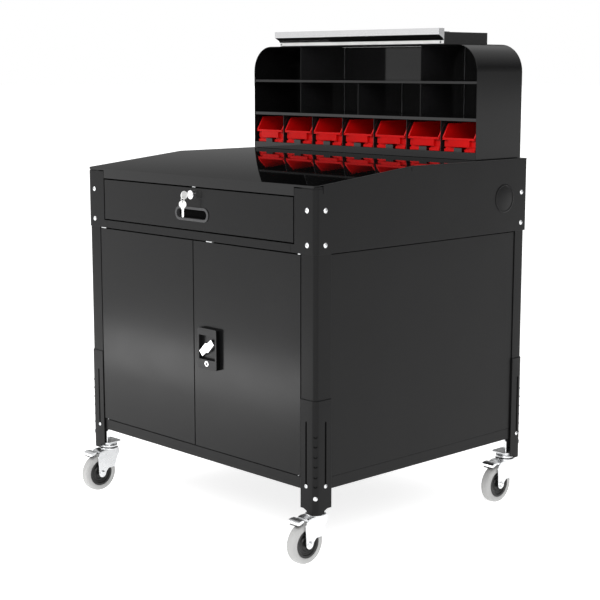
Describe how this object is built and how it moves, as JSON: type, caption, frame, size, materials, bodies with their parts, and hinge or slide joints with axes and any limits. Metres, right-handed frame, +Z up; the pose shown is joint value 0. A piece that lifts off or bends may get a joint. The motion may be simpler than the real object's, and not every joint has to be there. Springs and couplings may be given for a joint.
{
  "type": "mobile shop desk cart",
  "caption": "Wheeled black steel shop desk with a lockable cabinet, a drawer under a sloped top, and a rear riser with shelves, red hopper bins and a work light.",
  "frame": {"origin": "on the floor, at the middle of the bounding box", "axes": "+Z up, the doors and the drawer face -Y, +X to the right seen from the front"},
  "size_m": [0.8806, 0.8228, 1.2495],
  "materials": {
    "frame_black": "satin powder coat",
    "sheet_black": "semi-gloss powder coat",
    "zinc": "bright zinc plate",
    "chrome": "polished",
    "aluminium": "satin anodised",
    "bin_red": "moulded, satin",
    "tyre": "grey rubber",
    "black_plastic": "moulded, satin",
    "white_lens": "frosted"
  },
  "bodies": {
    "cart": {"post_fl": "frame_black", "post_fr": "frame_black", "post_bl": "frame_black", "post_br": "frame_black", "desk_case": "sheet_black", "desk_top": "sheet_black", "desk_rail": "sheet_black", "cabinet_side_l": "sheet_black", "cabinet_side_r": "sheet_black", "cabinet_back": "sheet_black", "cabinet_floor": "sheet_black", "drawer_runner_l": "zinc", "drawer_runner_r": "zinc", "riser_shell": "sheet_black", "riser_back": "sheet_black", "riser_insert_top": "sheet_black", "riser_insert_mid": "sheet_black", "riser_insert_low": "sheet_black", "light_housing": "sheet_black", "light_lens": "white_lens", "light_visor": "aluminium"},
    "leg_fl": {"leg_fl": "frame_black", "caster_plate_fl": "zinc"},
    "swivel_fl": {"caster_fork_fl": "zinc"},
    "wheel_fl": {"caster_wheel_fl": "tyre"},
    "pedal_fl": {"caster_pedal_fl": "zinc"},
    "leg_fr": {"leg_fr": "frame_black", "caster_plate_fr": "zinc"},
    "swivel_fr": {"caster_fork_fr": "zinc"},
    "wheel_fr": {"caster_wheel_fr": "tyre"},
    "pedal_fr": {"caster_pedal_fr": "zinc"},
    "leg_bl": {"leg_bl": "frame_black", "caster_plate_bl": "zinc"},
    "swivel_bl": {"caster_fork_bl": "zinc"},
    "wheel_bl": {"caster_wheel_bl": "tyre"},
    "pedal_bl": {"caster_pedal_bl": "zinc"},
    "leg_br": {"leg_br": "frame_black", "caster_plate_br": "zinc"},
    "swivel_br": {"caster_fork_br": "zinc"},
    "wheel_br": {"caster_wheel_br": "tyre"},
    "pedal_br": {"caster_pedal_br": "zinc"},
    "door_l": {"door_l": "sheet_black"},
    "door_r": {"door_r": "sheet_black", "latch_housing": "black_plastic"},
    "latch_handle": {"latch_handle": "chrome"},
    "latch_rod_up": {"latch_rod_up": "zinc"},
    "latch_rod_down": {"latch_rod_down": "zinc"},
    "drawer": {"drawer_box": "sheet_black", "drawer_front": "sheet_black", "drawer_pull": "black_plastic"},
    "drawer_key": {"drawer_lock": "chrome", "drawer_key": "chrome"},
    "spare_key": {"key_spare": "chrome"},
    "bin_1": {"bin_1": "bin_red"},
    "bin_2": {"bin_2": "bin_red"},
    "bin_3": {"bin_3": "bin_red"},
    "bin_4": {"bin_4": "bin_red"},
    "bin_5": {"bin_5": "bin_red"},
    "bin_6": {"bin_6": "bin_red"},
    "bin_7": {"bin_7": "bin_red"}
  },
  "joints": [
    {"name": "leg_extend_fl", "type": "slide", "parent": "cart", "child": "leg_fl", "axis": [0, 0, -1], "range_m": [0, 0.15]},
    {"name": "swivel_turn_fl", "type": "hinge", "parent": "leg_fl", "child": "swivel_fl", "pos_m": [-0.411, -0.3259, 0.1115], "axis": [0, 0, 1], "continuous": true},
    {"name": "wheel_spin_fl", "type": "hinge", "parent": "swivel_fl", "child": "wheel_fl", "pos_m": [-0.411, -0.3619, 0.0495], "axis": [1, 0, 0], "continuous": true},
    {"name": "brake_press_fl", "type": "hinge", "parent": "swivel_fl", "child": "pedal_fl", "pos_m": [-0.411, -0.3789, 0.1105], "axis": [1, 0, 0], "range_deg": [0, 20]},
    {"name": "leg_extend_fr", "type": "slide", "parent": "cart", "child": "leg_fr", "axis": [0, 0, -1], "range_m": [0, 0.15]},
    {"name": "swivel_turn_fr", "type": "hinge", "parent": "leg_fr", "child": "swivel_fr", "pos_m": [0.411, -0.3259, 0.1115], "axis": [0, 0, 1], "continuous": true},
    {"name": "wheel_spin_fr", "type": "hinge", "parent": "swivel_fr", "child": "wheel_fr", "pos_m": [0.411, -0.3619, 0.0495], "axis": [1, 0, 0], "continuous": true},
    {"name": "brake_press_fr", "type": "hinge", "parent": "swivel_fr", "child": "pedal_fr", "pos_m": [0.411, -0.3789, 0.1105], "axis": [1, 0, 0], "range_deg": [0, 20]},
    {"name": "leg_extend_bl", "type": "slide", "parent": "cart", "child": "leg_bl", "axis": [0, 0, -1], "range_m": [0, 0.15]},
    {"name": "swivel_turn_bl", "type": "hinge", "parent": "leg_bl", "child": "swivel_bl", "pos_m": [-0.411, 0.3821, 0.1115], "axis": [0, 0, 1], "continuous": true},
    {"name": "wheel_spin_bl", "type": "hinge", "parent": "swivel_bl", "child": "wheel_bl", "pos_m": [-0.411, 0.3461, 0.0495], "axis": [1, 0, 0], "continuous": true},
    {"name": "brake_press_bl", "type": "hinge", "parent": "swivel_bl", "child": "pedal_bl", "pos_m": [-0.411, 0.3291, 0.1105], "axis": [1, 0, 0], "range_deg": [0, 20]},
    {"name": "leg_extend_br", "type": "slide", "parent": "cart", "child": "leg_br", "axis": [0, 0, -1], "range_m": [0, 0.15]},
    {"name": "swivel_turn_br", "type": "hinge", "parent": "leg_br", "child": "swivel_br", "pos_m": [0.411, 0.3821, 0.1115], "axis": [0, 0, 1], "continuous": true},
    {"name": "wheel_spin_br", "type": "hinge", "parent": "swivel_br", "child": "wheel_br", "pos_m": [0.411, 0.3461, 0.0495], "axis": [1, 0, 0], "continuous": true},
    {"name": "brake_press_br", "type": "hinge", "parent": "swivel_br", "child": "pedal_br", "pos_m": [0.411, 0.3291, 0.1105], "axis": [1, 0, 0], "range_deg": [0, 20]},
    {"name": "door_l_swing", "type": "hinge", "parent": "cart", "child": "door_l", "pos_m": [-0.3775, -0.3479, 0.205], "axis": [0, 0, -1], "range_deg": [0, 110]},
    {"name": "door_r_swing", "type": "hinge", "parent": "cart", "child": "door_r", "pos_m": [0.3775, -0.3479, 0.205], "axis": [0, 0, 1], "range_deg": [0, 110]},
    {"name": "latch_turn", "type": "hinge", "parent": "door_r", "child": "latch_handle", "pos_m": [0.064, -0.3529, 0.466], "axis": [0, 1, 0], "range_deg": [0, 90]},
    {"name": "latch_rod_up_draw", "type": "slide", "parent": "door_r", "child": "latch_rod_up", "axis": [0, 0, -1], "range_m": [0, 0.0151]},
    {"name": "latch_rod_down_draw", "type": "slide", "parent": "door_r", "child": "latch_rod_down", "axis": [0, 0, 1], "range_m": [0, 0.0151]},
    {"name": "drawer_pull_out", "type": "slide", "parent": "cart", "child": "drawer", "axis": [0, -1, 0], "range_m": [0, 0.42]},
    {"name": "key_turn", "type": "hinge", "parent": "drawer", "child": "drawer_key", "pos_m": [0, -0.3547, 0.8405], "axis": [0, 1, 0], "range_deg": [0, 90]},
    {"name": "spare_key_swing", "type": "hinge", "parent": "drawer_key", "child": "spare_key", "pos_m": [0, -0.3837, 0.835], "axis": [1, 0, 0], "range_deg": [-35, 20]},
    {"name": "bin_1_slide", "type": "slide", "parent": "cart", "child": "bin_1", "axis": [0, -1, 0], "range_m": [0, 0.12]},
    {"name": "bin_2_slide", "type": "slide", "parent": "cart", "child": "bin_2", "axis": [0, -1, 0], "range_m": [0, 0.12]},
    {"name": "bin_3_slide", "type": "slide", "parent": "cart", "child": "bin_3", "axis": [0, -1, 0], "range_m": [0, 0.12]},
    {"name": "bin_4_slide", "type": "slide", "parent": "cart", "child": "bin_4", "axis": [0, -1, 0], "range_m": [0, 0.12]},
    {"name": "bin_5_slide", "type": "slide", "parent": "cart", "child": "bin_5", "axis": [0, -1, 0], "range_m": [0, 0.12]},
    {"name": "bin_6_slide", "type": "slide", "parent": "cart", "child": "bin_6", "axis": [0, -1, 0], "range_m": [0, 0.12]},
    {"name": "bin_7_slide", "type": "slide", "parent": "cart", "child": "bin_7", "axis": [0, -1, 0], "range_m": [0, 0.12]}
  ],
  "couplings": [
    {"joint": "leg_extend_fr", "follows": "leg_extend_fl", "ratio": 1},
    {"joint": "leg_extend_bl", "follows": "leg_extend_fl", "ratio": 1},
    {"joint": "leg_extend_br", "follows": "leg_extend_fl", "ratio": 1},
    {"joint": "latch_rod_up_draw", "follows": "latch_turn", "m_per_rad": 0.0095493},
    {"joint": "latch_rod_down_draw", "follows": "latch_turn", "m_per_rad": 0.0095493}
  ]
}
